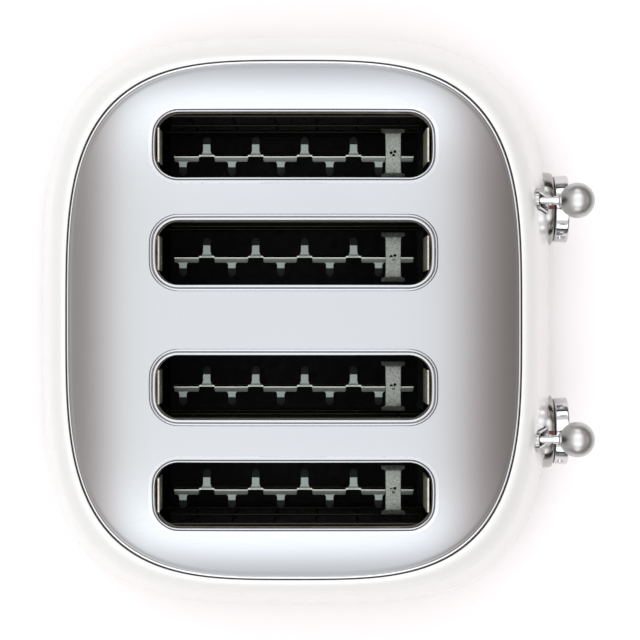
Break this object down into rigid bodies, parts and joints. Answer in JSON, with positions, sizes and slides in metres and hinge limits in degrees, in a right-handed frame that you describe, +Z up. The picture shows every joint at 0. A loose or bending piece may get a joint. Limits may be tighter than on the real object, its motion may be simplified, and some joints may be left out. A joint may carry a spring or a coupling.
{
  "type": "pop up toaster",
  "caption": "Pop up toaster with long parallel slots in a domed steel panel, a rounded painted body, ball levers, push buttons and browning dials on its front.",
  "frame": {"origin": "middle of the bounding box, on the surface the feet stand on", "axes": "+Z up, +X towards the face with the levers and dials, the slots run along X"},
  "size_m": [0.313, 0.3294, 0.204],
  "materials": {
    "white_enamel": "gloss",
    "brushed_steel": "satin",
    "chrome": "polished",
    "satin_chrome": "satin",
    "galvanised_steel": "satin",
    "bright_steel": "satin",
    "dark_wire": "satin",
    "black_steel": "satin",
    "mica": "satin",
    "rubber": "matte",
    "black_plastic": "matte",
    "brass_coil": "satin",
    "board": "satin"
  },
  "bodies": {
    "root": {"body_shell": "white_enamel", "top_panel": "brushed_steel", "base_ring": "chrome", "base_plate": "galvanised_steel", "feet": "rubber", "screws": "galvanised_steel", "cord_gland": "black_plastic", "front_bulkhead": "galvanised_steel", "rear_bulkhead": "galvanised_steel", "heat_shields": "galvanised_steel", "centre_partition": "galvanised_steel", "guide_rods": "bright_steel", "mica_boards_left": "mica", "mica_boards_right": "mica", "magnet_left": "brass_coil", "magnet_right": "brass_coil", "control_board_left": "board", "control_board_right": "board", "potentiometers": "black_plastic", "lever_frame_left": "chrome", "lever_frame_right": "chrome", "dial_bezel_left": "satin_chrome", "dial_bezel_right": "satin_chrome", "return_spring_left": "bright_steel", "return_spring_right": "bright_steel"},
    "lever_left": {"carriage_left": "galvanised_steel", "lever_rod_left": "chrome", "ball_knob_left": "chrome", "bread_rack_1": "galvanised_steel", "bread_rack_2": "galvanised_steel", "cross_brackets_left": "galvanised_steel"},
    "lever_right": {"carriage_right": "galvanised_steel", "lever_rod_right": "chrome", "ball_knob_right": "chrome", "bread_rack_3": "galvanised_steel", "bread_rack_4": "galvanised_steel", "cross_brackets_right": "galvanised_steel"},
    "guard_1_left": {"guard_1_left": "dark_wire"},
    "guard_1_right": {"guard_1_right": "dark_wire"},
    "guard_2_left": {"guard_2_left": "dark_wire"},
    "guard_2_right": {"guard_2_right": "dark_wire"},
    "guard_3_left": {"guard_3_left": "dark_wire"},
    "guard_3_right": {"guard_3_right": "dark_wire"},
    "guard_4_left": {"guard_4_left": "dark_wire"},
    "guard_4_right": {"guard_4_right": "dark_wire"},
    "dial_left": {"dial_knob_left": "chrome", "dial_shaft_left": "bright_steel", "grub_screw_left": "black_steel"},
    "button_left_1": {"button_left_1": "chrome"},
    "button_left_2": {"button_left_2": "chrome"},
    "button_left_3": {"button_left_3": "chrome"},
    "dial_right": {"dial_knob_right": "chrome", "dial_shaft_right": "bright_steel", "grub_screw_right": "black_steel"},
    "button_right_1": {"button_right_1": "chrome"},
    "button_right_2": {"button_right_2": "chrome"},
    "button_right_3": {"button_right_3": "chrome"},
    "tray_left": {"crumb_tray_left": "galvanised_steel"},
    "tray_right": {"crumb_tray_right": "galvanised_steel"}
  },
  "joints": [
    {"name": "lever_left_slide", "type": "slide", "parent": "root", "child": "lever_left", "axis": [0, 0, -1], "range_m": [0, 0.05], "stiffness_N_per_m": 60, "springref_m": -0.06, "deforming": ["return_spring_left"]},
    {"name": "lever_right_slide", "type": "slide", "parent": "root", "child": "lever_right", "axis": [0, 0, -1], "range_m": [0, 0.05], "stiffness_N_per_m": 60, "springref_m": -0.06, "deforming": ["return_spring_right"]},
    {"name": "dial_left_turn", "type": "hinge", "parent": "root", "child": "dial_left", "pos_m": [0.13371, -0.0648, 0.058], "axis": [1, 0, 0], "range_deg": [-270, 0]},
    {"name": "button_left_1_push", "type": "slide", "parent": "root", "child": "button_left_1", "axis": [-1, 0, 0], "range_m": [0, 0.0012], "stiffness_N_per_m": 800, "springref_m": -0.0012},
    {"name": "button_left_2_push", "type": "slide", "parent": "root", "child": "button_left_2", "axis": [-1, 0, 0], "range_m": [0, 0.0012], "stiffness_N_per_m": 800, "springref_m": -0.0012},
    {"name": "button_left_3_push", "type": "slide", "parent": "root", "child": "button_left_3", "axis": [-1, 0, 0], "range_m": [0, 0.0012], "stiffness_N_per_m": 800, "springref_m": -0.0012},
    {"name": "dial_right_turn", "type": "hinge", "parent": "root", "child": "dial_right", "pos_m": [0.13371, 0.0648, 0.058], "axis": [1, 0, 0], "range_deg": [-270, 0]},
    {"name": "button_right_1_push", "type": "slide", "parent": "root", "child": "button_right_1", "axis": [-1, 0, 0], "range_m": [0, 0.0012], "stiffness_N_per_m": 800, "springref_m": -0.0012},
    {"name": "button_right_2_push", "type": "slide", "parent": "root", "child": "button_right_2", "axis": [-1, 0, 0], "range_m": [0, 0.0012], "stiffness_N_per_m": 800, "springref_m": -0.0012},
    {"name": "button_right_3_push", "type": "slide", "parent": "root", "child": "button_right_3", "axis": [-1, 0, 0], "range_m": [0, 0.0012], "stiffness_N_per_m": 800, "springref_m": -0.0012},
    {"name": "tray_left_slide", "type": "slide", "parent": "root", "child": "tray_left", "axis": [-1, 0, 0], "range_m": [0, 0.2]},
    {"name": "tray_right_slide", "type": "slide", "parent": "root", "child": "tray_right", "axis": [-1, 0, 0], "range_m": [0, 0.2]},
    {"name": "guard_1_left_lean", "type": "hinge", "parent": "root", "child": "guard_1_left", "pos_m": [-0.00629, -0.1094, 0.062], "axis": [-1, 0, 0], "range_deg": [0, 1]},
    {"name": "guard_1_right_lean", "type": "hinge", "parent": "root", "child": "guard_1_right", "pos_m": [-0.00629, -0.0742, 0.062], "axis": [1, 0, 0], "range_deg": [0, 1]},
    {"name": "guard_2_left_lean", "type": "hinge", "parent": "root", "child": "guard_2_left", "pos_m": [-0.00629, -0.0528, 0.062], "axis": [-1, 0, 0], "range_deg": [0, 1]},
    {"name": "guard_2_right_lean", "type": "hinge", "parent": "root", "child": "guard_2_right", "pos_m": [-0.00629, -0.0176, 0.062], "axis": [1, 0, 0], "range_deg": [0, 1]},
    {"name": "guard_3_left_lean", "type": "hinge", "parent": "root", "child": "guard_3_left", "pos_m": [-0.00629, 0.0176, 0.062], "axis": [-1, 0, 0], "range_deg": [0, 1]},
    {"name": "guard_3_right_lean", "type": "hinge", "parent": "root", "child": "guard_3_right", "pos_m": [-0.00629, 0.0528, 0.062], "axis": [1, 0, 0], "range_deg": [0, 1]},
    {"name": "guard_4_left_lean", "type": "hinge", "parent": "root", "child": "guard_4_left", "pos_m": [-0.00629, 0.0742, 0.062], "axis": [-1, 0, 0], "range_deg": [0, 1]},
    {"name": "guard_4_right_lean", "type": "hinge", "parent": "root", "child": "guard_4_right", "pos_m": [-0.00629, 0.1094, 0.062], "axis": [1, 0, 0], "range_deg": [0, 1]}
  ],
  "couplings": [
    {"joint": "guard_1_left_lean", "follows": "lever_left_slide", "rad_per_m": 0.34872},
    {"joint": "guard_1_right_lean", "follows": "lever_left_slide", "rad_per_m": 0.34872},
    {"joint": "guard_2_left_lean", "follows": "lever_left_slide", "rad_per_m": 0.34872},
    {"joint": "guard_2_right_lean", "follows": "lever_left_slide", "rad_per_m": 0.34872},
    {"joint": "guard_3_left_lean", "follows": "lever_right_slide", "rad_per_m": 0.34872},
    {"joint": "guard_3_right_lean", "follows": "lever_right_slide", "rad_per_m": 0.34872},
    {"joint": "guard_4_left_lean", "follows": "lever_right_slide", "rad_per_m": 0.34872},
    {"joint": "guard_4_right_lean", "follows": "lever_right_slide", "rad_per_m": 0.34872}
  ]
}
